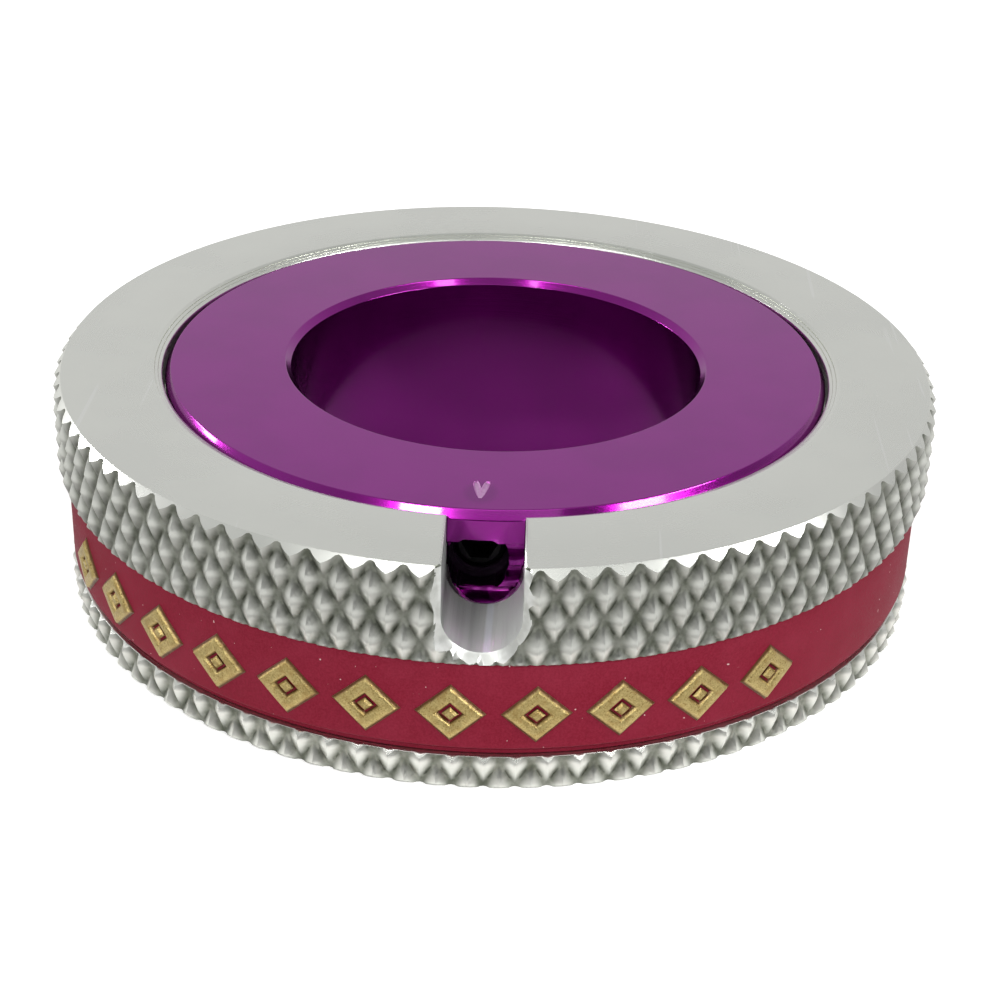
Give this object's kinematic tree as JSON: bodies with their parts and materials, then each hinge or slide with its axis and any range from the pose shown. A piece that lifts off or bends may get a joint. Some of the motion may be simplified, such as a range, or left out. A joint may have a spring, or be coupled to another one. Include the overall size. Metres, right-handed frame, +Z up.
{
  "type": "adjusting collar",
  "caption": "Round adjusting collar: a knurled grip ring with a rubber band and a key slot, screwed onto an anodised hub with a plain through bore and a radial set screw.",
  "frame": {"origin": "on the bore axis, in the plane of the grip ring's underside", "axes": "+Z up along the bore, -Y along the set screw towards the key slot, +X to the right of the slot seen from outside"},
  "size_m": [0.061, 0.061, 0.0155],
  "materials": {
    "bare_aluminium": "fine turned faces, bright knurl",
    "maroon_rubber": "satin moulded rubber",
    "gilt": "gold foil on raised rubber",
    "black_rubber": "smooth",
    "purple_anodised": "satin purple anodising over fine turning",
    "brass": "turned",
    "black_steel": "black oxide"
  },
  "bodies": {
    "grip": {"knurled_ring": "bare_aluminium", "grip_band": "maroon_rubber", "gilt_figure_01": "gilt", "gilt_figure_02": "gilt", "gilt_figure_03": "gilt", "gilt_figure_04": "gilt", "gilt_figure_05": "gilt", "gilt_figure_06": "gilt", "gilt_figure_07": "gilt", "gilt_figure_08": "gilt", "gilt_figure_09": "gilt", "gilt_figure_10": "gilt", "gilt_figure_11": "gilt"},
    "friction": {"friction_ring": "black_rubber"},
    "hub": {"threaded_hub": "purple_anodised"},
    "pad": {"brass_pad": "brass"},
    "screw": {"set_screw": "black_steel"}
  },
  "joints": [
    {"name": "hub_rise", "type": "slide", "parent": "grip", "child": "friction", "axis": [0, 0, 1], "range_m": [0, 0.00263]},
    {"name": "hub_turn", "type": "hinge", "parent": "friction", "child": "hub", "pos_m": [0, 0, 0.011], "axis": [0, 0, 1], "range_deg": [0, 630]},
    {"name": "pad_slide", "type": "slide", "parent": "hub", "child": "pad", "axis": [0, 1, 0], "range_m": [0, 0.00105]},
    {"name": "screw_turn", "type": "hinge", "parent": "pad", "child": "screw", "pos_m": [0, -0.0178, 0.01145], "axis": [0, 1, 0], "range_deg": [0, 542]}
  ],
  "couplings": [
    {"joint": "hub_rise", "follows": "hub_turn", "m_per_rad": 0.00023873},
    {"joint": "screw_turn", "follows": "pad_slide", "rad_per_m": 8976}
  ]
}
